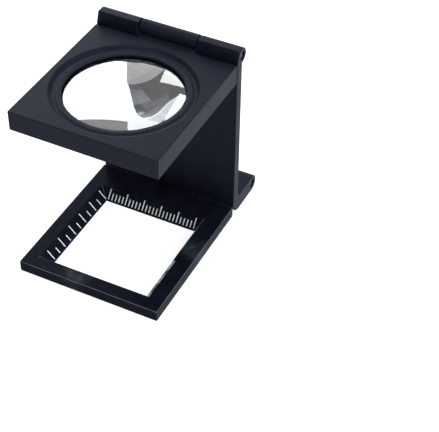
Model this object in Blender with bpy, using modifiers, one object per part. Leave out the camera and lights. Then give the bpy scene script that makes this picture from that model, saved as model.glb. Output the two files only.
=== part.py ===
"""Folding linen-tester loupe: a base frame, an upright plate and a lens plate on two hinges.

Metres, +Z up. The front is -Y, where the scale window lies. The origin is on the floor, at the
middle of the standing loupe's footprint. Both hinge axes run along X.
"""

import math

import bmesh
import bpy
from mathutils import Matrix, Vector

MM = 0.001

# Leaves
WIDTH = 38.2 * MM
HALF_WIDTH = WIDTH / 2
GAP = 0.3 * MM                      # clearance between neighbouring pieces
EDGE = 0.3 * MM                     # rounding of the castings' edges

# Lower hinge. Distances in Y are from the upright plate's front face.
BASE_REACH = 42.0 * MM              # from that face to the base frame's front edge
FOOT_RADIUS = 2.25 * MM
BASE_AXIS_BACK = 11.45 * MM
UPRIGHT_Y = (BASE_REACH - BASE_AXIS_BACK - FOOT_RADIUS) / 2
BASE_AXIS_Y = UPRIGHT_Y + BASE_AXIS_BACK
BASE_AXIS_Z = FOOT_RADIUS

# Upper hinge
UPPER_RADIUS = 2.0 * MM
LENS_AXIS_Y = UPRIGHT_Y + 2.6 * MM
LENS_AXIS_Z = 48.8 * MM

# Knuckles and pins, the same in both hinges
KNUCKLE_HALF = 7.7 * MM             # half length of the middle knuckle and its tongue
NOTCH_HALF = KNUCKLE_HALF + 0.35 * MM
PIN_RADIUS = 0.8 * MM
PIN_HALF = 18.7 * MM

# Upright plate
UPRIGHT_THICK = 2.6 * MM
UPRIGHT_CORNER = 3.4 * MM           # rounding where the plate turns into its feet
FOOT_FILLET = 1.0 * MM
FACET_BOTTOM = LENS_AXIS_Z - 0.8 * MM
FACET_RUN = 1.0 * MM                # the outer knuckles' fronts lean back by this much

# Base frame
BASE_THICK = 3.1 * MM
BASE_SHOULDER = UPRIGHT_Y - 0.35 * MM
BASE_FRONT = UPRIGHT_Y - BASE_REACH
WINDOW_LEFT = -12.95 * MM
WINDOW_RIGHT = 14.25 * MM
WINDOW_FRONT = UPRIGHT_Y - 38.26 * MM
WINDOW_REAR = UPRIGHT_Y - 10.13 * MM
WINDOW_LAND = 0.4 * MM              # upright lip under the two bevels
LEFT_BEVEL_RUN = 2.6 * MM
REAR_BEVEL_RUN = 2.23 * MM

# Graduations: millimetres on the rear bevel, tenths of an inch on the left bevel
MARK_WIDTH = 0.26 * MM
MARK_DEPTH = 0.12 * MM
MM_MARKS = 26
MM_FIRST_X = -12.55 * MM
MM_STEP = 1.0 * MM
INCH_MARKS = 11
INCH_FIRST_Y = UPRIGHT_Y - 10.05 * MM
INCH_STEP = 2.54 * MM
MARK_START = 0.4 * MM               # clear strip below the marks, along the slope
LONG_MARK = 2.85 * MM
SHORT_MARK = 1.8 * MM

# Lens plate
LENS_PLATE_TOP = 47.8 * MM
LENS_PLATE_THICK = 5.3 * MM
LENS_PLATE_BOTTOM = LENS_PLATE_TOP - LENS_PLATE_THICK
LENS_PLATE_FRONT = UPRIGHT_Y - 39.55 * MM
LENS_PLATE_REAR = UPRIGHT_Y - 0.3 * MM
LENS_TONGUE_THICK = 2.4 * MM
LENS_Y = UPRIGHT_Y - 20.3 * MM
SEAT_RADIUS = 14.9 * MM
LIP_RADIUS = 14.3 * MM
LIP_BOTTOM = LENS_PLATE_TOP - 1.25 * MM
DISH_OUTER = 17.7 * MM              # the dish runs from here down to its floor,
DISH_FLOOR = 16.4 * MM              # rises a little to its shelf,
DISH_SHELF = 15.4 * MM              # and falls gently from there to the lip
DISH_DEPTH = 0.75 * MM
SHELF_DEPTH = 0.55 * MM
LIP_DEPTH = 0.7 * MM

# Lens and its ring
LENS_RADIUS = 14.6 * MM
LENS_EDGE_TOP = LIP_BOTTOM - GAP
LENS_EDGE = 0.95 * MM
LENS_TOP_SAG = 1.3 * MM
LENS_BOTTOM_SAG = 2.35 * MM
RING_INNER = 13.4 * MM
RING_HEIGHT = 2.0 * MM

ROUND_STEPS = 72                    # facets round the lens bore
KNUCKLE_STEPS = 32                  # facets round a knuckle or a pin
PAST = 1.0 * MM                     # how far a cutter runs past the face it opens


def clear_scene():
    """Remove every object that the file opened with."""
    for obj in list(bpy.data.objects):
        bpy.data.objects.remove(obj, do_unlink=True)


def new_collection(name):
    """Make a collection under the scene's own."""
    collection = bpy.data.collections.new(name)
    bpy.context.scene.collection.children.link(collection)
    return collection


def material(name, colour, roughness, metallic, transmission=0.0):
    """Principled material of one finish."""
    mat = bpy.data.materials.new(name)
    mat.use_nodes = True
    shader = mat.node_tree.nodes["Principled BSDF"]
    shader.inputs["Base Color"].default_value = (*colour, 1.0)
    shader.inputs["Roughness"].default_value = roughness
    shader.inputs["Metallic"].default_value = metallic
    shader.inputs["Transmission Weight"].default_value = transmission
    return mat


def add_object(name, mesh, collection):
    """Put a mesh in a collection as a named object."""
    obj = bpy.data.objects.new(name, mesh)
    collection.objects.link(obj)
    return obj


def from_bmesh(name, shape, collection):
    """Turn a bmesh into an object."""
    mesh = bpy.data.meshes.new(name)
    shape.to_mesh(mesh)
    shape.free()
    return add_object(name, mesh, collection)


def box(name, low, high, collection):
    """Block between two corners."""
    low = Vector(low)
    high = Vector(high)
    shape = bmesh.new()
    bmesh.ops.create_cube(shape, size=1.0)
    bmesh.ops.scale(shape, vec=high - low, verts=shape.verts)
    bmesh.ops.translate(shape, vec=(low + high) / 2, verts=shape.verts)
    return from_bmesh(name, shape, collection)


def rod(name, half_length, y, z, radius, collection):
    """Cylinder along X, centred on the loupe's middle plane."""
    shape = bmesh.new()
    bmesh.ops.create_cone(shape, cap_ends=True, segments=KNUCKLE_STEPS, radius1=radius,
                          radius2=radius, depth=2 * half_length)
    turn = Matrix.Translation((0.0, y, z)) @ Matrix.Rotation(math.pi / 2, 4, "Y")
    bmesh.ops.transform(shape, matrix=turn, verts=shape.verts)
    return from_bmesh(name, shape, collection)


def arc(centre, radius, start, end, steps):
    """Points along an arc in the YZ plane. Angles in degrees, 0 towards +Y and 90 up."""
    points = []
    for step in range(steps + 1):
        angle = math.radians(start + (end - start) * step / steps)
        points.append((centre[0] + radius * math.cos(angle), centre[1] + radius * math.sin(angle)))
    return points


def side_profile(name, outline, half_length, collection):
    """Solid with one outline in the YZ plane, along X. The flat curve becomes a closed mesh."""
    curve = bpy.data.curves.new(name + "_outline", "CURVE")
    curve.dimensions = "2D"
    curve.fill_mode = "BOTH"
    curve.extrude = half_length
    spline = curve.splines.new("POLY")
    spline.points.add(len(outline) - 1)
    for point, (y, z) in zip(spline.points, outline):
        point.co = (y, z, 0.0, 1.0)
    spline.use_cyclic_u = True
    flat = bpy.data.objects.new(name + "_outline", curve)
    bpy.context.scene.collection.objects.link(flat)
    flat.matrix_world = Matrix(((0, 0, 1, 0), (1, 0, 0, 0), (0, 1, 0, 0), (0, 0, 0, 1)))
    graph = bpy.context.evaluated_depsgraph_get()
    mesh = bpy.data.meshes.new_from_object(flat.evaluated_get(graph))
    shape = bmesh.new()
    shape.from_mesh(mesh)
    bmesh.ops.remove_doubles(shape, verts=shape.verts, dist=0.00001)
    bmesh.ops.dissolve_limit(shape, angle_limit=math.radians(0.5), verts=shape.verts, edges=shape.edges)
    bmesh.ops.recalc_face_normals(shape, faces=shape.faces)
    shape.to_mesh(mesh)
    shape.free()
    obj = add_object(name, mesh, collection)
    obj.matrix_world = flat.matrix_world
    bpy.data.objects.remove(flat, do_unlink=True)
    return obj


def turned(name, profile, centre, collection):
    """Ring or disc turned about the vertical lens axis from (radius, height) points."""
    mesh = bpy.data.meshes.new(name)
    vertices = [(radius, 0.0, height) for radius, height in profile]
    on_axis = profile[0][0] == 0.0
    edges = [(i, i + 1) for i in range(len(profile) - 1)]
    if not on_axis:
        edges.append((len(profile) - 1, 0))
    mesh.from_pydata(vertices, edges, [])
    obj = add_object(name, mesh, collection)
    obj.location = (centre[0], centre[1], 0.0)
    screw = obj.modifiers.new("Turn", "SCREW")
    screw.axis = "Z"
    screw.angle = 2 * math.pi
    screw.steps = ROUND_STEPS
    screw.render_steps = ROUND_STEPS
    screw.use_merge_vertices = True
    screw.merge_threshold = 0.00001
    return obj


def combine(target, other, operation):
    """Boolean of another object into the target."""
    step = target.modifiers.new(other.name, "BOOLEAN")
    step.operation = operation
    step.solver = "EXACT"
    step.object = other


def as_cutter(obj):
    """Show a cutting or joining body as a wire only."""
    obj.display_type = "WIRE"
    obj.hide_render = True
    return obj


def round_edges(obj, width):
    """Small rounding on every edge sharper than 40 degrees."""
    bevel = obj.modifiers.new("Edges", "BEVEL")
    bevel.width = width
    bevel.segments = 2
    bevel.limit_method = "ANGLE"
    bevel.angle_limit = math.radians(40)


def finish(obj, mat):
    """Give a piece its material and smooth shading on its round faces."""
    obj.data.materials.append(mat)
    obj.data.shade_smooth()
    obj.data.set_sharp_from_angle(angle=math.radians(30))


def pin_bore(name, y, z, cutters):
    """Cutter for a hinge's pin hole."""
    return as_cutter(rod(name, HALF_WIDTH + PAST, y, z, PIN_RADIUS + GAP, cutters))


def make_upright(parts, cutters):
    """Upright plate: one side profile, notched in the middle at its top and its foot."""
    front = UPRIGHT_Y
    rear = UPRIGHT_Y + UPRIGHT_THICK
    foot_top = BASE_AXIS_Z + FOOT_RADIUS
    outline = [(front, FACET_BOTTOM), (front + FACET_RUN, LENS_AXIS_Z + UPPER_RADIUS)]
    outline += arc((LENS_AXIS_Y, LENS_AXIS_Z), UPPER_RADIUS, 90, -90, 16)
    outline += arc((rear + FOOT_FILLET, foot_top + FOOT_FILLET), FOOT_FILLET, 180, 270, 5)
    outline += arc((BASE_AXIS_Y, BASE_AXIS_Z), FOOT_RADIUS, 90, -90, 16)
    corner = (front + UPRIGHT_CORNER, UPRIGHT_CORNER)
    outline += arc(corner, UPRIGHT_CORNER, 270, 180, 10)
    plate = side_profile("upright_plate", outline, HALF_WIDTH, parts)
    round_edges(plate, EDGE / 2)
    top_notch = box("top_notch", (-NOTCH_HALF, front - PAST, top_notch_floor()),
                    (NOTCH_HALF, rear + 4 * PAST, LENS_AXIS_Z + 4 * PAST), cutters)
    tongue_notch = box("tongue_notch", (-NOTCH_HALF, front - PAST, -PAST),
                       (NOTCH_HALF, rear + PAST, BASE_THICK + 0.35 * MM), cutters)
    foot_notch = box("foot_notch", (-NOTCH_HALF, rear, -PAST),
                     (NOTCH_HALF, BASE_AXIS_Y + 4 * PAST, foot_top + FOOT_FILLET + PAST), cutters)
    for cutter in (top_notch, tongue_notch, foot_notch):
        combine(plate, as_cutter(cutter), "DIFFERENCE")
    combine(plate, pin_bore("upright_top_bore", LENS_AXIS_Y, LENS_AXIS_Z, cutters), "DIFFERENCE")
    combine(plate, pin_bore("upright_foot_bore", BASE_AXIS_Y, BASE_AXIS_Z, cutters), "DIFFERENCE")
    return plate


def top_notch_floor():
    """Height of the notch that the lens plate's tongue lies in."""
    return LENS_PLATE_TOP - LENS_TONGUE_THICK - 0.35 * MM


def window_cutter(cutters):
    """Window through the base: upright at the right and front, sloping at the left and rear."""
    rise = BASE_THICK - WINDOW_LAND
    spread = (rise + PAST) / rise
    shape = bmesh.new()
    bmesh.ops.create_cube(shape, size=1.0)
    for vert in shape.verts:
        high = vert.co.z > 0
        left = WINDOW_LEFT - (LEFT_BEVEL_RUN * spread if high else 0.0)
        rear = WINDOW_REAR + (REAR_BEVEL_RUN * spread if high else 0.0)
        vert.co = (WINDOW_RIGHT if vert.co.x > 0 else left,
                   rear if vert.co.y > 0 else WINDOW_FRONT,
                   BASE_THICK + PAST if high else WINDOW_LAND)
    return as_cutter(from_bmesh("window_bevels", shape, cutters))


def mark_cutter(name, foot, slope, across, long, cutters):
    """Groove for one graduation, lying on a bevel. Foot is its low end and slope its direction."""
    length = LONG_MARK if long else SHORT_MARK
    normal = across.cross(slope)
    shape = bmesh.new()
    bmesh.ops.create_cube(shape, size=1.0)
    bmesh.ops.scale(shape, vec=(MARK_WIDTH, length, 2 * MARK_DEPTH), verts=shape.verts)
    turn = Matrix((across, slope, normal)).transposed().to_4x4()
    turn.translation = foot + slope * (MARK_START + length / 2)
    bmesh.ops.transform(shape, matrix=turn, verts=shape.verts)
    return as_cutter(from_bmesh(name, shape, cutters))


def scale_cutters(cutters):
    """All the graduations: every fifth millimetre and every second inch mark is long."""
    rise = BASE_THICK - WINDOW_LAND
    rear_slope = Vector((0.0, REAR_BEVEL_RUN, rise)).normalized()
    left_slope = Vector((-LEFT_BEVEL_RUN, 0.0, rise)).normalized()
    marks = []
    for i in range(MM_MARKS):
        foot = Vector((MM_FIRST_X + i * MM_STEP, WINDOW_REAR, WINDOW_LAND))
        marks.append(mark_cutter(f"mm_mark_{i:02d}", foot, rear_slope, Vector((1.0, 0.0, 0.0)),
                                 i % 5 == 0, cutters))
    for i in range(INCH_MARKS):
        foot = Vector((WINDOW_LEFT, INCH_FIRST_Y - i * INCH_STEP, WINDOW_LAND))
        marks.append(mark_cutter(f"inch_mark_{i:02d}", foot, left_slope, Vector((0.0, 1.0, 0.0)),
                                 i % 2 == 0, cutters))
    return marks


def make_base(parts, cutters):
    """Base frame with its scale window, centre tongue and middle knuckle."""
    frame = box("base_frame", (-HALF_WIDTH, BASE_FRONT, 0.0),
                (HALF_WIDTH, BASE_SHOULDER, BASE_THICK), parts)
    round_edges(frame, EDGE)
    tongue = box("base_tongue", (-KNUCKLE_HALF, BASE_SHOULDER - 4 * PAST, 0.0),
                 (KNUCKLE_HALF, BASE_AXIS_Y, BASE_THICK), cutters)
    knuckle = rod("base_knuckle", KNUCKLE_HALF, BASE_AXIS_Y, BASE_AXIS_Z, FOOT_RADIUS, cutters)
    for body in (tongue, knuckle):
        combine(frame, as_cutter(body), "UNION")
    land = box("window_land", (WINDOW_LEFT, WINDOW_FRONT, -PAST),
               (WINDOW_RIGHT, WINDOW_REAR, WINDOW_LAND + PAST), cutters)
    combine(frame, as_cutter(land), "DIFFERENCE")
    combine(frame, window_cutter(cutters), "DIFFERENCE")
    combine(frame, pin_bore("base_bore", BASE_AXIS_Y, BASE_AXIS_Z, cutters), "DIFFERENCE")
    for mark in scale_cutters(cutters):
        combine(frame, mark, "DIFFERENCE")
    return frame


def wave(start, end, steps):
    """Points on a smooth S-curve between two (radius, height) points, the first left out."""
    points = []
    for step in range(1, steps + 1):
        share = step / steps
        blend = (1 - math.cos(math.pi * share)) / 2
        points.append((start[0] + (end[0] - start[0]) * share, start[1] + (end[1] - start[1]) * blend))
    return points


def lens_bore_profile():
    """Cutter for the lens: soft dish in the top, narrow lip, wide seat open to below."""
    top = LENS_PLATE_TOP
    rim = (DISH_OUTER, top)
    floor = (DISH_FLOOR, top - DISH_DEPTH)
    shelf = (DISH_SHELF, top - SHELF_DEPTH)
    bottom = LENS_PLATE_BOTTOM - PAST
    return [(0.0, top + PAST), (DISH_OUTER, top + PAST), rim, *wave(rim, floor, 6), *wave(floor, shelf, 4),
            (LIP_RADIUS, top - LIP_DEPTH), (LIP_RADIUS, LIP_BOTTOM), (SEAT_RADIUS, LIP_BOTTOM),
            (SEAT_RADIUS, bottom), (0.0, bottom)]


def make_lens_plate(parts, cutters):
    """Lens plate: bored block whose tongue and middle knuckle reach back over the upright."""
    plate = box("lens_plate", (-HALF_WIDTH, LENS_PLATE_FRONT, LENS_PLATE_BOTTOM),
                (HALF_WIDTH, LENS_PLATE_REAR, LENS_PLATE_TOP), parts)
    round_edges(plate, EDGE)
    tongue_bottom = LENS_PLATE_TOP - LENS_TONGUE_THICK
    tongue = box("lens_tongue", (-KNUCKLE_HALF, LENS_PLATE_REAR - 2 * PAST, tongue_bottom),
                 (KNUCKLE_HALF, LENS_AXIS_Y, LENS_PLATE_TOP), cutters)
    knuckle = rod("lens_knuckle", KNUCKLE_HALF, LENS_AXIS_Y, LENS_AXIS_Z, UPPER_RADIUS, cutters)
    for body in (tongue, knuckle):
        combine(plate, as_cutter(body), "UNION")
    bore = turned("lens_bore", lens_bore_profile(), (0.0, LENS_Y), cutters)
    pin = pin_bore("lens_plate_bore", LENS_AXIS_Y, LENS_AXIS_Z, cutters)
    for cutter in (as_cutter(bore), pin):
        combine(plate, cutter, "DIFFERENCE")
    return plate


def dome(sag, steps):
    """Radii and rises of a shallow spherical face, from its middle to the lens edge."""
    curvature = (LENS_RADIUS ** 2 + sag ** 2) / (2 * sag)
    points = []
    for step in range(steps + 1):
        radius = LENS_RADIUS * step / steps
        rise = math.sqrt(curvature ** 2 - radius ** 2) - (curvature - sag)
        points.append((radius, rise))
    return points


def make_lens(parts):
    """Biconvex lens, flatter above than below."""
    lower_edge = LENS_EDGE_TOP - LENS_EDGE
    top = [(radius, LENS_EDGE_TOP + rise) for radius, rise in dome(LENS_TOP_SAG, 6)]
    bottom = [(radius, lower_edge - rise) for radius, rise in dome(LENS_BOTTOM_SAG, 8)]
    return turned("lens", top + bottom[::-1], (0.0, LENS_Y), parts)


def make_ring(parts):
    """Retaining ring pressed into the seat under the lens, flush with the plate's underside."""
    outer = SEAT_RADIUS - GAP
    low = LENS_PLATE_BOTTOM
    chamfer = 0.3 * MM
    profile = [(outer, low + RING_HEIGHT), (outer, low), (RING_INNER + chamfer, low),
               (RING_INNER, low + chamfer), (RING_INNER, low + RING_HEIGHT)]
    return turned("lens_retaining_ring", profile, (0.0, LENS_Y), parts)


def main():
    clear_scene()
    parts = new_collection("viewing_loupe")
    cutters = new_collection("cutters")
    black = material("black_enamel", (0.022, 0.025, 0.034), 0.45, 0.0)
    ring_black = material("ring_black", (0.016, 0.017, 0.022), 0.35, 0.0)
    steel = material("pin_steel", (0.45, 0.45, 0.46), 0.32, 1.0)
    glass = material("lens_glass", (0.96, 0.98, 0.98), 0.02, 0.0, transmission=1.0)
    finish(make_upright(parts, cutters), black)
    finish(make_base(parts, cutters), black)
    finish(make_lens_plate(parts, cutters), black)
    finish(make_lens(parts), glass)
    finish(make_ring(parts), ring_black)
    finish(rod("base_hinge_pin", PIN_HALF, BASE_AXIS_Y, BASE_AXIS_Z, PIN_RADIUS, parts), steel)
    finish(rod("lens_hinge_pin", PIN_HALF, LENS_AXIS_Y, LENS_AXIS_Z, PIN_RADIUS, parts), steel)


main()
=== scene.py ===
"""Looks of the folding linen-tester loupe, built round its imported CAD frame.

Everything is in metres, in the frame's own axes: the front is -Y and +Z is up. The fine meshes
stand exactly where the CAD solids stand, with rounded edges, a smooth lens and painted scales.
"""

import math

import bmesh
import bpy
from mathutils import Matrix, Vector


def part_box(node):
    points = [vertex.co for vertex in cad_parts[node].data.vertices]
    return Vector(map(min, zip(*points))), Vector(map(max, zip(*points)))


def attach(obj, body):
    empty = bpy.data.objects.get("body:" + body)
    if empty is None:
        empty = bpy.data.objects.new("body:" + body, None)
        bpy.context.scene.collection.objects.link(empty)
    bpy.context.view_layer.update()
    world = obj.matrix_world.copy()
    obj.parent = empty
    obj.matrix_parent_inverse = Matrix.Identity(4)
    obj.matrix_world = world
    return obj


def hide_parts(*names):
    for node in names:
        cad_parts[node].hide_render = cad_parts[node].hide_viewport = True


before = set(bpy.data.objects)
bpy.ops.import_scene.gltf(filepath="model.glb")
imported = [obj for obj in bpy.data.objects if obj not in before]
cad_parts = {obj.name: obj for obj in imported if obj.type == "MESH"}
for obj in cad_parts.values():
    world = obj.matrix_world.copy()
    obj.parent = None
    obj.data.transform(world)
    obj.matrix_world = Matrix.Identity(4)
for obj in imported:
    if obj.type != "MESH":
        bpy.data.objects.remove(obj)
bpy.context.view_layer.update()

MM = 0.001

# ---------------------------------------------------------------- places taken from the frame

BASE_LOW, BASE_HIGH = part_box("base_frame")
UPRIGHT_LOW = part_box("upright_plate")[0]
PLATE_LOW, PLATE_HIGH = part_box("lens_plate")
LENS_LOW, LENS_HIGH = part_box("lens")
RING_LOW, RING_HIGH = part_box("lens_retaining_ring")
LENS_PIN_LOW, LENS_PIN_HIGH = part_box("lens_hinge_pin")
BASE_PIN_LOW, BASE_PIN_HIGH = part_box("base_hinge_pin")

HALF_WIDTH = BASE_HIGH.x
FRONT_FACE = UPRIGHT_LOW.y          # the upright plate's front face
LENS_X = (LENS_LOW.x + LENS_HIGH.x) / 2
LENS_Y = (LENS_LOW.y + LENS_HIGH.y) / 2
LENS_RADIUS = (LENS_HIGH.x - LENS_LOW.x) / 2
TOP_AXIS = ((LENS_PIN_LOW.y + LENS_PIN_HIGH.y) / 2, (LENS_PIN_LOW.z + LENS_PIN_HIGH.z) / 2)
FOOT_AXIS = ((BASE_PIN_LOW.y + BASE_PIN_HIGH.y) / 2, (BASE_PIN_LOW.z + BASE_PIN_HIGH.z) / 2)
TOP_RADIUS = PLATE_HIGH.z - TOP_AXIS[1]
FOOT_RADIUS = FOOT_AXIS[1]

# ---------------------------------------------------------------- sizes that the boxes don't give

KNUCKLE_HALF = 7.7 * MM
NOTCH_HALF = 8.05 * MM
BORE_RADIUS = 1.1 * MM

UPRIGHT_THICK = 2.6 * MM
UPRIGHT_CORNER = 3.4 * MM
FOOT_FILLET = 1.0 * MM
FACET_BOTTOM = TOP_AXIS[1] - 0.8 * MM   # the outer knuckles' fronts lean back from here up
FACET_RUN = 1.0 * MM
TOP_NOTCH_FLOOR = 45.05 * MM
TONGUE_NOTCH_TOP = 3.45 * MM

BASE_THICK = 3.1 * MM
BASE_SHOULDER = FRONT_FACE - 0.35 * MM
WINDOW_LEFT = -12.95 * MM
WINDOW_RIGHT = 14.25 * MM
WINDOW_FRONT = FRONT_FACE - 38.26 * MM
WINDOW_REAR = FRONT_FACE - 10.13 * MM
WINDOW_LAND = 0.4 * MM
LEFT_BEVEL_RUN = 2.6 * MM
REAR_BEVEL_RUN = 2.23 * MM
FILED_RUN = 0.75 * MM               # slope filed on the front half of the window's right side
FILED_DROP = 0.22 * MM
FILED_END = FRONT_FACE - 24.5 * MM

MARK_WIDTH = 0.26 * MM
MARK_PROUD = 0.02 * MM
MARK_SUNK = 0.06 * MM
MARK_START = 0.4 * MM
LONG_MARK = 2.85 * MM
SHORT_MARK = 1.8 * MM
MM_MARKS = 26
MM_FIRST_X = -12.55 * MM
MM_STEP = 1.0 * MM
INCH_MARKS = 11
INCH_FIRST_Y = FRONT_FACE - 10.05 * MM
INCH_STEP = 2.54 * MM

PLATE_TOP = 47.8 * MM
PLATE_BOTTOM = PLATE_LOW.z
PLATE_REAR = FRONT_FACE - 0.3 * MM
TONGUE_BOTTOM = PLATE_TOP - 2.4 * MM
SEAT_RADIUS = 14.9 * MM
LIP_RADIUS = 14.3 * MM
LIP_BOTTOM = PLATE_TOP - 1.25 * MM
DISH_OUTER = 17.7 * MM
DISH_FLOOR = 16.4 * MM
DISH_SHELF = 15.4 * MM
DISH_DEPTH = 0.75 * MM
SHELF_DEPTH = 0.55 * MM
LIP_DEPTH = 0.7 * MM

LENS_GAP = 0.3 * MM                 # between the lip and the lens's rim
LENS_EDGE_TOP = LIP_BOTTOM - LENS_GAP
LENS_EDGE = 0.95 * MM
LENS_TOP_SAG = 1.3 * MM
LENS_BOTTOM_SAG = 2.35 * MM
LENS_CHAMFER = 0.42 * MM
RING_CHAMFER = 0.3 * MM
RING_INNER = 13.4 * MM

SOFT_EDGE = 0.28 * MM               # rounding of the base's and the lens plate's edges
CASTING_EDGE = SOFT_EDGE * 0.7      # width of the bevel which gives that rounding
CRISP_EDGE = 0.2 * MM               # rounding of the upright's and its knuckles' edges
RING_EDGE = 0.1 * MM
PAST = 1.0 * MM                     # how far a cutter runs past the face it opens
WELD = 0.000002                     # points closer than this become one

SHARP = math.radians(28)            # edges turning more than this are rounded
FLAT = math.radians(0.3)            # faces turning less than this become one
CASTING_CREASE = 40                 # degrees above which shading keeps an edge
LENS_CREASE = 20
RING_CREASE = 30

EDGE_STEPS = 3
KNUCKLE_STEPS = 64
ROUND_STEPS = 160
TOP_ARC_STEPS = 32
FOOT_ARC_STEPS = 30
CORNER_STEPS = 16
FILLET_STEPS = 8
DOME_STEPS = 40
DISH_STEPS = 16
SHELF_STEPS = 10

MAIN_SLOT = 0                       # the base's material slots
FILED_SLOT = 1
# outer top edges, lighter: part wear, part painted highlight
EDGE_WEAR_AND_HIGHLIGHT_SLOT = 2
EDGE_SLOT = 1                       # the lens's second and third material slots
UNDER_SLOT = 2


# ---------------------------------------------------------------- mesh tools

def object_from(shape, name):
    """Turn a bmesh into an object in the scene."""
    mesh = bpy.data.meshes.new(name)
    bmesh.ops.recalc_face_normals(shape, faces=shape.faces)
    shape.to_mesh(mesh)
    shape.free()
    obj = bpy.data.objects.new(name, mesh)
    bpy.context.scene.collection.objects.link(obj)
    return obj


def block(low, high):
    """Block between two corners."""
    low = Vector(low)
    high = Vector(high)
    shape = bmesh.new()
    bmesh.ops.create_cube(shape, size=1.0)
    bmesh.ops.scale(shape, vec=high - low, verts=shape.verts)
    bmesh.ops.translate(shape, vec=(low + high) / 2, verts=shape.verts)
    return object_from(shape, "block")


def rod(half_length, axis, radius):
    """Plain round bar along X."""
    shape = bmesh.new()
    bmesh.ops.create_cone(shape, cap_ends=True, segments=KNUCKLE_STEPS, radius1=radius,
                          radius2=radius, depth=2 * half_length)
    turn = Matrix.Translation((0.0, *axis)) @ Matrix.Rotation(math.pi / 2, 4, "Y")
    bmesh.ops.transform(shape, matrix=turn, verts=shape.verts)
    return object_from(shape, "rod")


def arc(centre, radius, start, end, steps):
    """Points along an arc in the YZ plane. Angles in degrees, 0 towards +Y and 90 up."""
    points = []
    for step in range(steps + 1):
        angle = math.radians(start + (end - start) * step / steps)
        points.append((centre[0] + radius * math.cos(angle), centre[1] + radius * math.sin(angle)))
    return points


def prism(outline, half_length):
    """Bar along X with one outline in the YZ plane."""
    shape = bmesh.new()
    left = [shape.verts.new((-half_length, y, z)) for y, z in outline]
    right = [shape.verts.new((half_length, y, z)) for y, z in outline]
    count = len(outline)
    for i in range(count):
        j = (i + 1) % count
        shape.faces.new((left[i], left[j], right[j], right[i]))
    shape.faces.new(left)
    shape.faces.new(right)
    return object_from(shape, "prism")


def turned(profile):
    """Solid turned about the lens's vertical axis from (radius, height) points."""
    shape = bmesh.new()
    rings = []
    for radius, height in profile:
        if radius == 0.0:
            rings.append([shape.verts.new((LENS_X, LENS_Y, height))])
            continue
        ring = []
        for step in range(ROUND_STEPS):
            angle = 2 * math.pi * step / ROUND_STEPS
            ring.append(shape.verts.new((LENS_X + radius * math.cos(angle),
                                         LENS_Y + radius * math.sin(angle), height)))
        rings.append(ring)
    pairs = list(zip(rings, rings[1:]))
    if len(rings[0]) > 1:
        pairs.append((rings[-1], rings[0]))
    for upper, lower in pairs:
        for i in range(ROUND_STEPS):
            j = (i + 1) % ROUND_STEPS
            if len(upper) == 1:
                shape.faces.new((upper[0], lower[j], lower[i]))
            elif len(lower) == 1:
                shape.faces.new((upper[i], upper[j], lower[0]))
            else:
                shape.faces.new((upper[i], upper[j], lower[j], lower[i]))
    return object_from(shape, "turned")


def settle(obj, helpers=()):
    """Apply an object's modifiers to its mesh and remove its helpers."""
    graph = bpy.context.evaluated_depsgraph_get()
    mesh = bpy.data.meshes.new_from_object(obj.evaluated_get(graph))
    obj.modifiers.clear()
    obj.data = mesh
    for helper in helpers:
        bpy.data.objects.remove(helper, do_unlink=True)
    return obj


def combine(target, others, operation):
    """Exact boolean of other objects into the target."""
    for other in others:
        step = target.modifiers.new("join", "BOOLEAN")
        step.operation = operation
        step.solver = "EXACT"
        step.object = other
    settle(target, others)
    return target


def round_edges(obj, width):
    """Round every sharp outer edge and keep the flat faces flat in shading."""
    shape = bmesh.new()
    shape.from_mesh(obj.data)
    bmesh.ops.remove_doubles(shape, verts=shape.verts, dist=WELD)
    bmesh.ops.dissolve_limit(shape, angle_limit=FLAT, verts=shape.verts, edges=shape.edges)
    sharp = [edge for edge in shape.edges
             if edge.is_manifold and edge.calc_face_angle_signed() > SHARP]
    bmesh.ops.bevel(shape, geom=sharp, offset=width, offset_type="OFFSET", segments=EDGE_STEPS,
                    profile=0.5, affect="EDGES", miter_outer="ARC", clamp_overlap=False)
    shape.to_mesh(obj.data)
    shape.free()
    smooth(obj, CASTING_CREASE)


def smooth(obj, crease):
    """Smooth shading with face-weighted normals, kept sharp above an angle in degrees."""
    obj.data.shade_smooth()
    obj.data.set_sharp_from_angle(angle=math.radians(crease))
    weigh = obj.modifiers.new("Weigh", "WEIGHTED_NORMAL")
    weigh.keep_sharp = True


def piece(obj, name, body, slot, mat, *replaced):
    """Name a finished mesh, give it its finish and let it ride on its CAD body."""
    obj.name = name
    obj.data.name = name
    obj.data.materials.clear()
    obj.data.materials.append(mat)
    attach(obj, body)
    if replaced:
        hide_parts(*replaced)
    return obj


# ---------------------------------------------------------------- the upright plate

def upright_outline():
    """Side outline: crisp front edge, round knuckle, thin plate, foot, round toe."""
    rear = FRONT_FACE + UPRIGHT_THICK
    foot_top = FOOT_AXIS[1] + FOOT_RADIUS
    outline = [(FRONT_FACE, FACET_BOTTOM), (FRONT_FACE + FACET_RUN, TOP_AXIS[1] + TOP_RADIUS)]
    outline += arc(TOP_AXIS, TOP_RADIUS, 90, -90, TOP_ARC_STEPS)
    outline += arc((rear + FOOT_FILLET, foot_top + FOOT_FILLET), FOOT_FILLET, 180, 270, FILLET_STEPS)
    outline += arc(FOOT_AXIS, FOOT_RADIUS, 90, -90, FOOT_ARC_STEPS)
    outline += arc((FRONT_FACE + UPRIGHT_CORNER, UPRIGHT_CORNER), UPRIGHT_CORNER, 270, 180,
                   CORNER_STEPS)
    return outline


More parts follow.
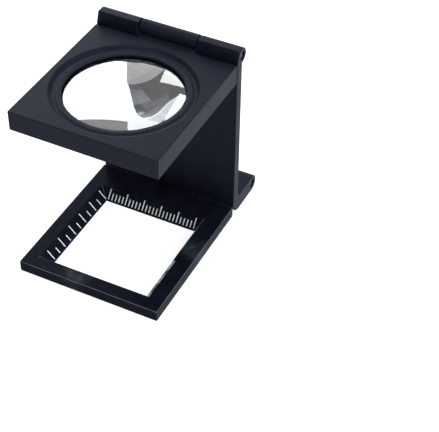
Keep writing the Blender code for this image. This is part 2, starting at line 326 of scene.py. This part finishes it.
def make_upright(mat):
    """Upright plate, notched for the two tongues and bored for the two pins."""
    rear = FRONT_FACE + UPRIGHT_THICK
    foot_top = FOOT_AXIS[1] + FOOT_RADIUS
    plate = prism(upright_outline(), HALF_WIDTH)
    cutters = [
        block((-NOTCH_HALF, FRONT_FACE - PAST, TOP_NOTCH_FLOOR),
              (NOTCH_HALF, rear + 4 * PAST, TOP_AXIS[1] + 4 * PAST)),
        block((-NOTCH_HALF, FRONT_FACE - PAST, -PAST),
              (NOTCH_HALF, rear + PAST, TONGUE_NOTCH_TOP)),
        block((-NOTCH_HALF, rear, -PAST),
              (NOTCH_HALF, FOOT_AXIS[0] + 4 * PAST, foot_top + FOOT_FILLET + PAST)),
        rod(HALF_WIDTH + PAST, TOP_AXIS, BORE_RADIUS),
        rod(HALF_WIDTH + PAST, FOOT_AXIS, BORE_RADIUS),
    ]
    combine(plate, cutters, "DIFFERENCE")
    round_edges(plate, CRISP_EDGE)
    return piece(plate, "upright_casting", "upright", "enamel", mat, "upright_plate")


# ---------------------------------------------------------------- the base frame and its scales

def window_bevels():
    """Cutter whose left and rear sides slope outwards, for the two scales."""
    rise = BASE_THICK - WINDOW_LAND
    spread = (rise + PAST) / rise
    shape = bmesh.new()
    bmesh.ops.create_cube(shape, size=1.0)
    for vert in shape.verts:
        high = vert.co.z > 0
        left = WINDOW_LEFT - (LEFT_BEVEL_RUN * spread if high else 0.0)
        rear = WINDOW_REAR + (REAR_BEVEL_RUN * spread if high else 0.0)
        vert.co = (WINDOW_RIGHT if vert.co.x > 0 else left,
                   rear if vert.co.y > 0 else WINDOW_FRONT,
                   BASE_THICK + PAST if high else WINDOW_LAND)
    return object_from(shape, "window_bevels")


def filed_edge():
    """Cutter that takes the top edge off the window's right side."""
    shape = bmesh.new()
    outline = [(-FILED_RUN, 0.0), (0.0, -FILED_DROP), (FILED_RUN, 0.0), (0.0, FILED_DROP)]
    near, far = ([shape.verts.new((WINDOW_RIGHT + x, y, BASE_THICK + z)) for x, z in outline]
                 for y in (WINDOW_FRONT, FILED_END))
    for i in range(len(outline)):
        j = (i + 1) % len(outline)
        shape.faces.new((near[i], near[j], far[j], far[i]))
    shape.faces.new(near)
    shape.faces.new(far)
    return object_from(shape, "filed_edge")


def base_slot(face):
    """Material slot of a base face: the filed slope, the outer top edges (lighter: part wear, part
    painted highlight) or the rest.
    """
    normal = face.normal
    centre = face.center
    leans_left = -0.5 < normal.x < -0.1 and abs(normal.y) < 0.1
    if leans_left and abs(centre.x - WINDOW_RIGHT) < FILED_RUN:
        return FILED_SLOT
    outer = abs(centre.x) > HALF_WIDTH - SOFT_EDGE or centre.y < BASE_LOW.y + SOFT_EDGE
    rounded = 0.3 < normal.z < 0.95
    if outer and rounded and centre.z > BASE_THICK - SOFT_EDGE:
        return EDGE_WEAR_AND_HIGHLIGHT_SLOT
    return MAIN_SLOT


def make_base(mat, filed_highlight_mat, edge_wear_and_highlight_mat):
    """Base frame with its window, tongue and middle knuckle."""
    base = block((-HALF_WIDTH, BASE_LOW.y, 0.0), (HALF_WIDTH, BASE_SHOULDER, BASE_THICK))
    combine(base, [
        block((-KNUCKLE_HALF, BASE_SHOULDER - 4 * PAST, 0.0),
              (KNUCKLE_HALF, FOOT_AXIS[0], BASE_THICK)),
        rod(KNUCKLE_HALF, FOOT_AXIS, FOOT_RADIUS),
    ], "UNION")
    combine(base, [
        block((WINDOW_LEFT, WINDOW_FRONT, -PAST), (WINDOW_RIGHT, WINDOW_REAR, WINDOW_LAND + PAST)),
        window_bevels(),
        filed_edge(),
        rod(HALF_WIDTH + PAST, FOOT_AXIS, BORE_RADIUS),
    ], "DIFFERENCE")
    round_edges(base, CASTING_EDGE)
    piece(base, "base_casting", "base_leaf", "enamel", mat, "base_frame")
    base.data.materials.append(filed_highlight_mat)
    base.data.materials.append(edge_wear_and_highlight_mat)
    for face in base.data.polygons:
        face.material_index = base_slot(face)
    return base


def paint_bar(shape, foot, slope, across, long):
    """One graduation: a thin bar of paint with a rounded top, lying on a bevel."""
    length = LONG_MARK if long else SHORT_MARK
    normal = across.cross(slope)
    start = foot + slope * MARK_START
    half = MARK_WIDTH / 2
    crown = half * 0.7
    shoulder = MARK_PROUD * 0.4
    section = [(-half, -MARK_SUNK), (-half, shoulder), (-crown, MARK_PROUD),
               (crown, MARK_PROUD), (half, shoulder), (half, -MARK_SUNK)]
    ends = []
    for along in (0.0, length):
        ends.append([shape.verts.new(start + slope * along + across * u + normal * v)
                     for u, v in section])
    for i in range(len(section)):
        j = (i + 1) % len(section)
        shape.faces.new((ends[0][i], ends[0][j], ends[1][j], ends[1][i]))
    shape.faces.new(ends[0])
    shape.faces.new(ends[1])


def make_scales(mat):
    """Millimetres on the rear bevel and tenths of an inch on the left one."""
    rise = BASE_THICK - WINDOW_LAND
    rear_slope = Vector((0.0, REAR_BEVEL_RUN, rise)).normalized()
    left_slope = Vector((-LEFT_BEVEL_RUN, 0.0, rise)).normalized()
    shape = bmesh.new()
    for i in range(MM_MARKS):
        foot = Vector((MM_FIRST_X + i * MM_STEP, WINDOW_REAR, WINDOW_LAND))
        paint_bar(shape, foot, rear_slope, Vector((1.0, 0.0, 0.0)), i % 5 == 0)
    piece(object_from(shape, "mm"), "millimetre_scale_paint", "base_leaf", "enamel", mat)
    shape = bmesh.new()
    for i in range(INCH_MARKS):
        foot = Vector((WINDOW_LEFT, INCH_FIRST_Y - i * INCH_STEP, WINDOW_LAND))
        paint_bar(shape, foot, left_slope, Vector((0.0, 1.0, 0.0)), i % 2 == 0)
    piece(object_from(shape, "inch"), "inch_scale_paint", "base_leaf", "enamel", mat)


# ---------------------------------------------------------------- the lens plate, lens and ring

def wave(start, end, steps):
    """Points on a smooth S-curve between two (radius, height) points, the first left out."""
    points = []
    for step in range(1, steps + 1):
        share = step / steps
        blend = (1 - math.cos(math.pi * share)) / 2
        points.append((start[0] + (end[0] - start[0]) * share,
                       start[1] + (end[1] - start[1]) * blend))
    return points


def bore_profile():
    """Cutter for the lens: soft dish in the top, narrow lip, wide seat open to below."""
    rim = (DISH_OUTER, PLATE_TOP)
    floor = (DISH_FLOOR, PLATE_TOP - DISH_DEPTH)
    shelf = (DISH_SHELF, PLATE_TOP - SHELF_DEPTH)
    bottom = PLATE_BOTTOM - PAST
    return [(0.0, PLATE_TOP + PAST), (DISH_OUTER, PLATE_TOP + PAST), rim,
            *wave(rim, floor, DISH_STEPS), *wave(floor, shelf, SHELF_STEPS),
            (LIP_RADIUS, PLATE_TOP - LIP_DEPTH), (LIP_RADIUS, LIP_BOTTOM),
            (SEAT_RADIUS, LIP_BOTTOM), (SEAT_RADIUS, bottom), (0.0, bottom)]


def make_lens_plate(mat):
    """Lens plate: bored and dished block with a tongue and a middle knuckle."""
    plate = block((-HALF_WIDTH, PLATE_LOW.y, PLATE_BOTTOM), (HALF_WIDTH, PLATE_REAR, PLATE_TOP))
    combine(plate, [
        block((-KNUCKLE_HALF, PLATE_REAR - 2 * PAST, TONGUE_BOTTOM),
              (KNUCKLE_HALF, TOP_AXIS[0], PLATE_TOP)),
        rod(KNUCKLE_HALF, TOP_AXIS, TOP_RADIUS),
    ], "UNION")
    combine(plate, [turned(bore_profile()), rod(HALF_WIDTH + PAST, TOP_AXIS, BORE_RADIUS)],
            "DIFFERENCE")
    round_edges(plate, CASTING_EDGE)
    return piece(plate, "lens_plate_casting", "lens_leaf", "enamel", mat, "lens_plate")


def dome(radius, sag):
    """Radii and rises of a shallow spherical face, from its middle outwards."""
    curvature = (LENS_RADIUS ** 2 + sag ** 2) / (2 * sag)
    points = []
    for step in range(DOME_STEPS + 1):
        r = radius * step / DOME_STEPS
        points.append((r, math.sqrt(curvature ** 2 - r ** 2) - (curvature - sag)))
    return points


def make_lens(mat, edge_mat, under_mat):
    """Biconvex lens with a blackened edge and chamfers, and its own glass below."""
    lower_edge = LENS_EDGE_TOP - LENS_EDGE
    inner = LENS_RADIUS - LENS_CHAMFER
    top = [(r, LENS_EDGE_TOP + rise) for r, rise in dome(inner, LENS_TOP_SAG)]
    bottom = [(r, lower_edge - rise) for r, rise in dome(inner, LENS_BOTTOM_SAG)]
    edge = [(LENS_RADIUS, LENS_EDGE_TOP - LENS_CHAMFER), (LENS_RADIUS, lower_edge + LENS_CHAMFER)]
    lens = turned(top + edge + bottom[::-1])
    smooth(lens, LENS_CREASE)
    piece(lens, "magnifier_lens", "lens_leaf", "glass", mat, "lens")
    lens.data.materials.append(edge_mat)
    lens.data.materials.append(under_mat)
    for face in lens.data.polygons:
        reach = math.hypot(face.center.x - LENS_X, face.center.y - LENS_Y)
        if reach > inner:
            face.material_index = EDGE_SLOT
        elif face.center.z < lower_edge:
            face.material_index = UNDER_SLOT
    return lens


def make_ring(mat):
    """Retaining ring with a chamfered inner edge."""
    outer = RING_HIGH.x - LENS_X
    low = RING_LOW.z
    high = RING_HIGH.z
    profile = [(outer, high - RING_EDGE), (outer, low + RING_EDGE), (outer - RING_EDGE, low),
               (RING_INNER + RING_CHAMFER, low), (RING_INNER, low + RING_CHAMFER),
               (RING_INNER, high - RING_EDGE), (RING_INNER + RING_EDGE, high),
               (outer - RING_EDGE, high)]
    ring = turned(profile)
    smooth(ring, RING_CREASE)
    return piece(ring, "lens_ring", "lens_leaf", "ring", mat, "lens_retaining_ring")


# ---------------------------------------------------------------- materials

# Grain of the finishes, in features per metre.
MOTTLING = 220.0
SPECKLE = 3600.0
PEEL = 2600.0
# breaks in the lighter edges, which are part wear and part painted highlight
EDGE_WEAR_AND_HIGHLIGHT_BREAKS = 700.0
# cloudiness of the painted reflection patches on the base
REFLECTION_CLOUD = 420.0
# spots where the filed edge shows light grey: bare metal and painted highlight
BARE_AND_HIGHLIGHT_SPOTS = 260.0
FILE_SCRATCHES = 5200.0
RING_MOTTLING = 500.0
OIL = 900.0
PAINT_THINNING = 3200.0
GLASS_FILM = 260.0
EDGE_BRUSHING = 2400.0
PAPER_TOOTH = 900.0

GRINDING = (9000.0, 700.0, 700.0)   # the same, along X, Y and Z
TURNING_PITCH = 0.18 * MM           # step between the ring's turning marks
# width of the lighter edges: part wear, part painted highlight
EDGE_WEAR_AND_HIGHLIGHT_WIDTH = 0.28 * MM
WEAR_POLISH = 0.10                  # how much smoother a rubbed edge is
ENAMEL_TINT = (0.72, 0.84, 1.0, 1.0)
COAT_IOR = 2.6

# colour and reach of the lighter patches painted on the base's top as reflections
PAINTED_REFLECTION_COLOUR = (0.030, 0.038, 0.047)
REFLECTION_PATCH_REACH = 4.6 * MM
BASE_REFLECTION_PATCHES = (                    # middles of the painted reflection patches on the base
    (-4.2 * MM, FRONT_FACE - 40.0 * MM, BASE_THICK),
    (17.6 * MM, FRONT_FACE - 18.8 * MM, BASE_THICK),
)


def new_material(name):
    """Empty Principled material. Returns it with its node tree and shader."""
    mat = bpy.data.materials.new(name)
    mat.use_nodes = True
    return mat, mat.node_tree, mat.node_tree.nodes["Principled BSDF"]


def noise(tree, coords, scale, detail=3.0, roughness=0.55):
    """Noise texture at a scale given as features per metre."""
    node = tree.nodes.new("ShaderNodeTexNoise")
    node.inputs["Scale"].default_value = scale
    node.inputs["Detail"].default_value = detail
    node.inputs["Roughness"].default_value = roughness
    tree.links.new(coords, node.inputs["Vector"])
    return node.outputs["Fac"]


def remap(tree, value, low, high, to_low=0.0, to_high=1.0):
    """Stretch a value from one range to another, clamped."""
    node = tree.nodes.new("ShaderNodeMapRange")
    node.inputs["From Min"].default_value = low
    node.inputs["From Max"].default_value = high
    node.inputs["To Min"].default_value = to_low
    node.inputs["To Max"].default_value = to_high
    tree.links.new(value, node.inputs["Value"])
    return node.outputs["Result"]


def math_node(tree, operation, a, b=None):
    """Math node on two sockets or numbers."""
    node = tree.nodes.new("ShaderNodeMath")
    node.operation = operation
    for socket, value in zip(node.inputs, (a, b)):
        if isinstance(value, (int, float)):
            socket.default_value = value
        elif value is not None:
            tree.links.new(value, socket)
    return node.outputs["Value"]


def mix_colour(tree, factor, a, b):
    """Blend of two colours, each a tuple or a socket."""
    node = tree.nodes.new("ShaderNodeMix")
    node.data_type = "RGBA"
    tree.links.new(factor, node.inputs[0])
    for socket, value in ((node.inputs[6], a), (node.inputs[7], b)):
        if isinstance(value, tuple):
            socket.default_value = (*value, 1.0)
        else:
            tree.links.new(value, socket)
    return node.outputs[2]


def bump(tree, height, strength, depth, normal=None):
    """Bump from a height map, over another normal where there is one. Depth is in metres."""
    node = tree.nodes.new("ShaderNodeBump")
    node.inputs["Strength"].default_value = strength
    node.inputs["Distance"].default_value = depth
    tree.links.new(height, node.inputs["Height"])
    if normal is not None:
        tree.links.new(normal, node.inputs["Normal"])
    return node.outputs["Normal"]


def edge_mask(tree, radius):
    """1 along rounded edges, 0 on flat faces."""
    bevel = tree.nodes.new("ShaderNodeBevel")
    bevel.samples = 6
    bevel.inputs["Radius"].default_value = radius
    geometry = tree.nodes.new("ShaderNodeNewGeometry")
    dot = tree.nodes.new("ShaderNodeVectorMath")
    dot.operation = "DOT_PRODUCT"
    tree.links.new(bevel.outputs["Normal"], dot.inputs[0])
    tree.links.new(geometry.outputs["Normal"], dot.inputs[1])
    return remap(tree, dot.outputs["Value"], 0.985, 0.90)


def painted_reflection(tree, coords, place):
    """Cloudy painted reflection patch, 1 in the middle and 0 past its reach."""
    distance = tree.nodes.new("ShaderNodeVectorMath")
    distance.operation = "DISTANCE"
    distance.inputs[1].default_value = place
    tree.links.new(coords, distance.inputs[0])
    spot = remap(tree, distance.outputs["Value"], REFLECTION_PATCH_REACH, 0.25 * REFLECTION_PATCH_REACH)
    cloud = remap(tree, noise(tree, coords, REFLECTION_CLOUD, 4.0, 0.6), 0.36, 0.62, 0.15, 1.0)
    return math_node(tree, "MULTIPLY", spot, cloud)


def enamel(name, dark, light, edge_wear_and_highlight, rough, specular, ior=1.5, grain=0.5, reflection_patches=()):
    """Black enamel: fine orange peel, faint mottling, lighter edges (part wear, part painted
    highlight) and painted reflection patches.
    """
    mat, tree, shader = new_material(name)
    coords = tree.nodes.new("ShaderNodeTexCoord").outputs["Object"]
    mottling = noise(tree, coords, MOTTLING, 4.0)
    speckle = noise(tree, coords, SPECKLE, 2.0)
    peel = noise(tree, coords, PEEL, 3.0, 0.6)
    blotch = math_node(tree, "ADD", math_node(tree, "MULTIPLY", mottling, 0.6),
                       math_node(tree, "MULTIPLY", speckle, 0.4))
    colour = mix_colour(tree, remap(tree, blotch, 0.38, 0.62), dark, light)
    # lighter rounded edges: part wear, part painted highlight of the edges catching light
    patchy = remap(tree, noise(tree, coords, EDGE_WEAR_AND_HIGHLIGHT_BREAKS, 3.0), 0.40, 0.62, 0.25, 1.0)
    edge_wear_and_highlight_mask = math_node(tree, "MULTIPLY", edge_mask(tree, EDGE_WEAR_AND_HIGHLIGHT_WIDTH), patchy)
    # lighter patches painted on the base's top as reflections
    for place in reflection_patches:
        colour = mix_colour(tree, painted_reflection(tree, coords, place), colour, PAINTED_REFLECTION_COLOUR)
    colour = mix_colour(tree, edge_wear_and_highlight_mask, colour, edge_wear_and_highlight)
    tree.links.new(colour, shader.inputs["Base Color"])
    base_rough = remap(tree, blotch, 0.35, 0.65, *rough)
    polish = math_node(tree, "MULTIPLY", edge_wear_and_highlight_mask, WEAR_POLISH)
    tree.links.new(math_node(tree, "SUBTRACT", base_rough, polish), shader.inputs["Roughness"])
    shader.inputs["IOR"].default_value = ior
    shader.inputs["Specular IOR Level"].default_value = specular
    shader.inputs["Specular Tint"].default_value = ENAMEL_TINT
    fine = bump(tree, speckle, grain, 0.02 * MM)
    tree.links.new(bump(tree, peel, grain, 0.03 * MM, fine), shader.inputs["Normal"])
    return mat


def rubbed_enamel_and_highlight():
    """Filed edge where the enamel has rubbed through to a grey in places; that grey is kept light as
    a painted highlight of the edge catching light.
    """
    mat, tree, shader = new_material("rubbed_enamel_edge_and_highlight")
    coords = tree.nodes.new("ShaderNodeTexCoord").outputs["Object"]
    bare_and_highlight_spots = remap(tree, noise(tree, coords, BARE_AND_HIGHLIGHT_SPOTS, 5.0, 0.65), 0.40, 0.56)
    scratches = noise(tree, coords, FILE_SCRATCHES, 3.0)
    # light grey for bare metal, brightened as a painted highlight
    metal_and_highlight = mix_colour(tree, scratches, (0.20, 0.205, 0.21), (0.50, 0.51, 0.52))
    colour = mix_colour(tree, bare_and_highlight_spots, (0.02, 0.022, 0.028), metal_and_highlight)
    tree.links.new(colour, shader.inputs["Base Color"])
    tree.links.new(remap(tree, scratches, 0.3, 0.7, 0.28, 0.5), shader.inputs["Roughness"])
    tree.links.new(bump(tree, scratches, 0.4, 0.01 * MM), shader.inputs["Normal"])
    return mat


def ring_enamel():
    """Ring finish: black with fine turning marks round the lens."""
    mat, tree, shader = new_material("ring_black_turned")
    coords = tree.nodes.new("ShaderNodeTexCoord").outputs["Object"]
    split = tree.nodes.new("ShaderNodeSeparateXYZ")
    tree.links.new(coords, split.inputs["Vector"])
    x = math_node(tree, "SUBTRACT", split.outputs["X"], LENS_X)
    y = math_node(tree, "SUBTRACT", split.outputs["Y"], LENS_Y)
    square = math_node(tree, "ADD", math_node(tree, "MULTIPLY", x, x),
                       math_node(tree, "MULTIPLY", y, y))
    phase = math_node(tree, "MULTIPLY", math_node(tree, "SQRT", square), 2 * math.pi / TURNING_PITCH)
    turning = math_node(tree, "SINE", phase)
    mottling = noise(tree, coords, RING_MOTTLING, 3.0)
    colour = mix_colour(tree, remap(tree, mottling, 0.35, 0.65),
                        (0.010, 0.011, 0.015), (0.022, 0.023, 0.029))
    tree.links.new(colour, shader.inputs["Base Color"])
    tree.links.new(remap(tree, mottling, 0.3, 0.7, 0.30, 0.42), shader.inputs["Roughness"])
    shader.inputs["Specular IOR Level"].default_value = 0.3
    tree.links.new(bump(tree, turning, 0.35, 0.01 * MM), shader.inputs["Normal"])
    return mat


def pin_steel():
    """Steel pin: ground round its length, darkened by oil."""
    mat, tree, shader = new_material("pin_steel_ground")
    coords = tree.nodes.new("ShaderNodeTexCoord").outputs["Object"]
    stretch = tree.nodes.new("ShaderNodeMapping")
    stretch.inputs["Scale"].default_value = GRINDING
    tree.links.new(coords, stretch.inputs["Vector"])
    grinding = noise(tree, stretch.outputs["Vector"], 1.0, 2.0)
    oil = noise(tree, coords, OIL, 3.0)
    colour = mix_colour(tree, remap(tree, oil, 0.35, 0.65),
                        (0.045, 0.045, 0.047), (0.13, 0.128, 0.125))
    tree.links.new(colour, shader.inputs["Base Color"])
    tree.links.new(remap(tree, grinding, 0.3, 0.7, 0.28, 0.46), shader.inputs["Roughness"])
    shader.inputs["Metallic"].default_value = 1.0
    tree.links.new(bump(tree, grinding, 0.3, 0.008 * MM), shader.inputs["Normal"])
    return mat


def scale_paint():
    """White paint wiped into the graduations, a little uneven."""
    mat, tree, shader = new_material("scale_white_paint")
    coords = tree.nodes.new("ShaderNodeTexCoord").outputs["Object"]
    thin = noise(tree, coords, PAINT_THINNING, 3.0)
    colour = mix_colour(tree, remap(tree, thin, 0.36, 0.60),
                        (0.46, 0.48, 0.50), (0.80, 0.81, 0.80))
    tree.links.new(colour, shader.inputs["Base Color"])
    tree.links.new(remap(tree, thin, 0.3, 0.7, 0.5, 0.7), shader.inputs["Roughness"])
    tree.links.new(bump(tree, thin, 0.4, 0.008 * MM), shader.inputs["Normal"])
    return mat


def lens_glass(name, ior):
    """Clear polished glass, coated on its outer side only, with the faintest film of handling."""
    mat, tree, shader = new_material(name)
    coords = tree.nodes.new("ShaderNodeTexCoord").outputs["Object"]
    film = noise(tree, coords, GLASS_FILM, 4.0)
    colour = mix_colour(tree, film, (0.97, 0.985, 0.98), (1.0, 1.0, 1.0))
    tree.links.new(colour, shader.inputs["Base Color"])
    tree.links.new(remap(tree, film, 0.45, 0.75, 0.0, 0.03), shader.inputs["Roughness"])
    shader.inputs["IOR"].default_value = ior
    shader.inputs["Transmission Weight"].default_value = 1.0
    inside = tree.nodes.new("ShaderNodeNewGeometry").outputs["Backfacing"]
    tree.links.new(math_node(tree, "SUBTRACT", 1.0, inside), shader.inputs["Coat Weight"])
    shader.inputs["Coat Roughness"].default_value = 0.0
    shader.inputs["Coat IOR"].default_value = COAT_IOR
    return mat


def edge_paint():
    """Matt black paint on the lens's chamfers and edge."""
    mat, tree, shader = new_material("lens_edge_black_paint")
    coords = tree.nodes.new("ShaderNodeTexCoord").outputs["Object"]
    brushed = noise(tree, coords, EDGE_BRUSHING, 3.0)
    colour = mix_colour(tree, remap(tree, brushed, 0.35, 0.65),
                        (0.006, 0.006, 0.007), (0.014, 0.014, 0.016))
    tree.links.new(colour, shader.inputs["Base Color"])
    tree.links.new(remap(tree, brushed, 0.3, 0.7, 0.6, 0.8), shader.inputs["Roughness"])
    shader.inputs["Specular IOR Level"].default_value = 0.1
    tree.links.new(bump(tree, brushed, 0.4, 0.01 * MM), shader.inputs["Normal"])
    return mat


# ---------------------------------------------------------------- studio

WHITE = (1.0, 1.0, 1.0)
WINDOW_COLOUR = (0.89, 0.945, 1.0)
SKY_COLOUR = (0.82, 0.92, 1.0)
WORLD_LIGHT = 0.38

FLOOR_HALF = 3.0
FLOOR_HEIGHT = -0.00002
FLOOR_COLOUR = (0.56, 0.56, 0.57)
FLOOR_GLOW = 0.70

# The panels stand on one upright plane behind the loupe. Their edges are bearings and rises seen
# from the middle of the lens plate's top, in degrees. A bearing runs from +Y towards +X.
PANEL_BEARING = -10.2
PANEL_DISTANCE = 0.45
WINDOWS = (                         # left, right, low, high, radiance
    ("window_left", -54.0, -30.0, 3.0, 55.5, 4.1),
    ("window_high", -30.0, -8.0, 53.0, 70.0, 3.6),
    ("window_right", -13.2, -8.0, 35.0, 53.0, 3.6),
)
WALLS = (                           # left, right, low, high, radiance, colour, shape
    ("ceiling_left", -54.0, -30.0, 55.5, 68.0, 0.6, WHITE, "RECTANGLE"),
    ("wall_light", -38.0, -21.0, 3.0, 35.0, 0.6, WHITE, "ELLIPSE"),
    ("wall_right", -20.5, -8.0, 3.0, 31.0, 2.6, WHITE, "RECTANGLE"),
)
PANE_OVERLAP = 0.02                 # how far a pane runs past both ends of its inner side
PANES = (                           # inner side's start and end, reach outwards, radiance
    ((-30.4, 31.0), (-29.2, 37.8), 0.012, 4.1),
    ((-29.2, 37.8), (-27.5, 47.3), 0.022, 4.1),
    ((-27.5, 47.3), (-25.5, 51.5), 0.045, 3.6),
    ((-25.5, 51.5), (-22.9, 52.6), 0.060, 3.6),
    ((-22.9, 52.6), (-19.5, 51.2), 0.050, 2.6),
    ((-19.5, 51.2), (-17.0, 48.0), 0.045, 2.4),
    ((-17.0, 48.0), (-15.2, 41.8), 0.035, 2.2),
    ((-15.2, 41.8), (-13.8, 38.0), 0.030, 2.2),
)
SOFTBOXES = (                       # place from the lens, width, height, radiance, colour
    ("right_softbox", (0.65, 0.10, 0.25), 0.5, 0.5, 7.5, SKY_COLOUR),
    ("overhead_softbox", (-0.05, -0.18, 0.58), 0.5, 0.8, 2.5, WINDOW_COLOUR),
)

CAMERA_AZIMUTH = 25.289
CAMERA_ELEVATION = 42.434
CAMERA_ROLL = 1.182
CAMERA_TARGET = Vector((0.0, FRONT_FACE - 20.0 * MM, 18.0 * MM))
CAMERA_RIGHT = 22.099 * MM          # sideways step of the camera from the line to the target
CAMERA_UP = -7.258 * MM
CAMERA_DISTANCE = 304.254 * MM
CAMERA_LENS = 101.965
SENSOR = 36.0
CLIP_NEAR = 0.01
CLIP_FAR = 10.0


def floor_paper():
    """Floor paper: pale and matt, faintly glowing, with a fine tooth."""
    mat, tree, shader = new_material("floor_paper")
    coords = tree.nodes.new("ShaderNodeTexCoord").outputs["Object"]
    tooth = noise(tree, coords, PAPER_TOOTH, 3.0)
    shade = mix_colour(tree, tooth, tuple(c * 0.98 for c in FLOOR_COLOUR), FLOOR_COLOUR)
    tree.links.new(shade, shader.inputs["Base Color"])
    shader.inputs["Roughness"].default_value = 0.95
    shader.inputs["Specular IOR Level"].default_value = 0.0
    shader.inputs["Emission Color"].default_value = (*WHITE, 1.0)
    shader.inputs["Emission Strength"].default_value = FLOOR_GLOW
    return mat


def make_floor():
    """Large pale floor just under the loupe."""
    half = FLOOR_HALF
    shape = bmesh.new()
    corners = [(-half, -half), (half, -half), (half, half), (-half, half)]
    shape.faces.new([shape.verts.new((x, y, FLOOR_HEIGHT)) for x, y in corners])
    floor = object_from(shape, "studio_floor")
    floor.data.materials.append(floor_paper())


def make_world():
    """Even white surroundings."""
    world = bpy.data.worlds.new("studio")
    world.use_nodes = True
    background = world.node_tree.nodes["Background"]
    background.inputs["Color"].default_value = (*WHITE, 1.0)
    background.inputs["Strength"].default_value = WORLD_LIGHT
    bpy.context.scene.world = world


def area_light(name, width, height, radiance, colour, shape="RECTANGLE"):
    """Area light of a size. Radiance is the brightness of its face."""
    data = bpy.data.lights.new(name, "AREA")
    data.shape = shape
    data.size = width
    data.size_y = height
    data.energy = radiance * width * height * math.pi
    data.color = colour
    light = bpy.data.objects.new(name, data)
    bpy.context.scene.collection.objects.link(light)
    return light


def on_plane(bearing, rise):
    """Point of the panels' plane at a bearing and a rise."""
    return Vector((PANEL_DISTANCE * math.tan(math.radians(bearing - PANEL_BEARING)),
                   PANEL_DISTANCE * math.tan(math.radians(rise))))


def lay_panel(light, middle, tilt):
    """Set a light on the panels' plane, turned within it by the tilt and facing the loupe."""
    bearing = math.radians(PANEL_BEARING)
    ahead = Vector((math.sin(bearing), math.cos(bearing), 0.0))
    side = Vector((math.cos(bearing), -math.sin(bearing), 0.0))
    rise = Vector((0.0, 0.0, 1.0))
    along = side * math.cos(tilt) + rise * math.sin(tilt)
    across = rise * math.cos(tilt) - side * math.sin(tilt)
    offset = ahead * PANEL_DISTANCE + side * middle.x + rise * middle.y
    place = Vector((LENS_X, LENS_Y, PLATE_TOP)) + offset
    turn = Matrix((-along, across, ahead)).transposed().to_4x4()
    light.matrix_world = Matrix.Translation(place) @ turn


def panel(name, left, right, low, high, radiance, colour=WINDOW_COLOUR, shape="RECTANGLE"):
    """Level panel between two bearings and two rises."""
    near = on_plane(left, low)
    far = on_plane(right, high)
    light = area_light(name, far.x - near.x, far.y - near.y, radiance, colour, shape)
    lay_panel(light, (near + far) / 2, 0.0)


def pane(name, start, end, reach, radiance):
    """Tilted window pane whose inner side runs from start to end."""
    start = on_plane(*start)
    end = on_plane(*end)
    along = (end - start).normalized()
    outwards = Vector((-along.y, along.x))
    length = (end - start).length + 2 * PANE_OVERLAP
    light = area_light(name, length, reach, radiance, WINDOW_COLOUR)
    lay_panel(light, (start + end) / 2 + outwards * reach / 2, math.atan2(along.y, along.x))


def softbox(name, offset, width, height, radiance, colour):
    """Rectangular softbox at an offset from the lens, facing it."""
    lens = Vector((LENS_X, LENS_Y, PLATE_TOP))
    place = lens + Vector(offset)
    light = area_light(name, width, height, radiance, colour)
    light.location = place
    light.rotation_euler = (lens - place).to_track_quat("-Z", "Y").to_euler()


def make_studio():
    """Floor, surroundings, a window and walls behind, and softboxes to the right and overhead."""
    make_floor()
    make_world()
    for row in WINDOWS:
        panel(*row)
    for i, row in enumerate(PANES):
        pane(f"window_pane_{i}", *row)
    for row in WALLS:
        panel(*row)
    for row in SOFTBOXES:
        softbox(*row)
    bpy.context.scene.view_settings.view_transform = "Standard"


def make_camera():
    """Camera above the loupe's front right corner, looking down at it."""
    azimuth = math.radians(CAMERA_AZIMUTH)
    elevation = math.radians(CAMERA_ELEVATION)
    roll = math.radians(CAMERA_ROLL)
    back = Vector((math.sin(azimuth) * math.cos(elevation),
                   -math.cos(azimuth) * math.cos(elevation), math.sin(elevation)))
    level = Vector((math.cos(azimuth), math.sin(azimuth), 0.0))
    rise = back.cross(level)
    right = level * math.cos(roll) + rise * math.sin(roll)
    up = rise * math.cos(roll) - level * math.sin(roll)
    data = bpy.data.cameras.new("camera")
    data.sensor_width = SENSOR
    data.lens = CAMERA_LENS
    data.clip_start = CLIP_NEAR
    data.clip_end = CLIP_FAR
    camera = bpy.data.objects.new("camera", data)
    bpy.context.scene.collection.objects.link(camera)
    place = CAMERA_TARGET + right * CAMERA_RIGHT + up * CAMERA_UP + back * CAMERA_DISTANCE
    turn = Matrix((right, up, back)).transposed().to_4x4()
    camera.matrix_world = Matrix.Translation(place) @ turn
    bpy.context.scene.camera = camera


# ---------------------------------------------------------------- the whole scene

def make_pins():
    """Finish of the two hinge pins, which keep their CAD meshes."""
    steel = pin_steel()
    for node in ("lens_hinge_pin", "base_hinge_pin"):
        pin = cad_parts[node]
        pin.data.materials.clear()
        pin.data.materials.append(steel)


def main():
    """Build every piece, then the studio."""
    black = enamel("black_enamel_satin", dark=(0.0047, 0.0056, 0.0103),
                   light=(0.0086, 0.0099, 0.0170), edge_wear_and_highlight=(0.040, 0.044, 0.056),
                   rough=(0.42, 0.54), specular=0.075)
    base_black = enamel("black_enamel_base", dark=(0.0038, 0.0043, 0.0080),
                        light=(0.0068, 0.0076, 0.0130), edge_wear_and_highlight=(0.17, 0.175, 0.185),
                        rough=(0.20, 0.32), specular=0.11, ior=1.17, grain=0.25,
                        reflection_patches=BASE_REFLECTION_PATCHES)
    # lighter finish on the base's outer top edges: part wear, part painted highlight of the edges
    # catching light
    base_edge_wear_and_highlight = enamel("black_enamel_edge_wear_and_highlight", dark=(0.034, 0.037, 0.044),
                       light=(0.130, 0.136, 0.148), edge_wear_and_highlight=(0.17, 0.175, 0.185),
                       rough=(0.25, 0.40), specular=0.5)
    make_upright(black)
    make_base(base_black, rubbed_enamel_and_highlight(), base_edge_wear_and_highlight)
    make_scales(scale_paint())
    make_lens_plate(black)
    make_lens(lens_glass("lens_glass_polished", ior=1.52), edge_paint(),
              lens_glass("lens_glass_under", ior=1.38))
    make_ring(ring_enamel())
    make_pins()
    make_studio()
    make_camera()


main()
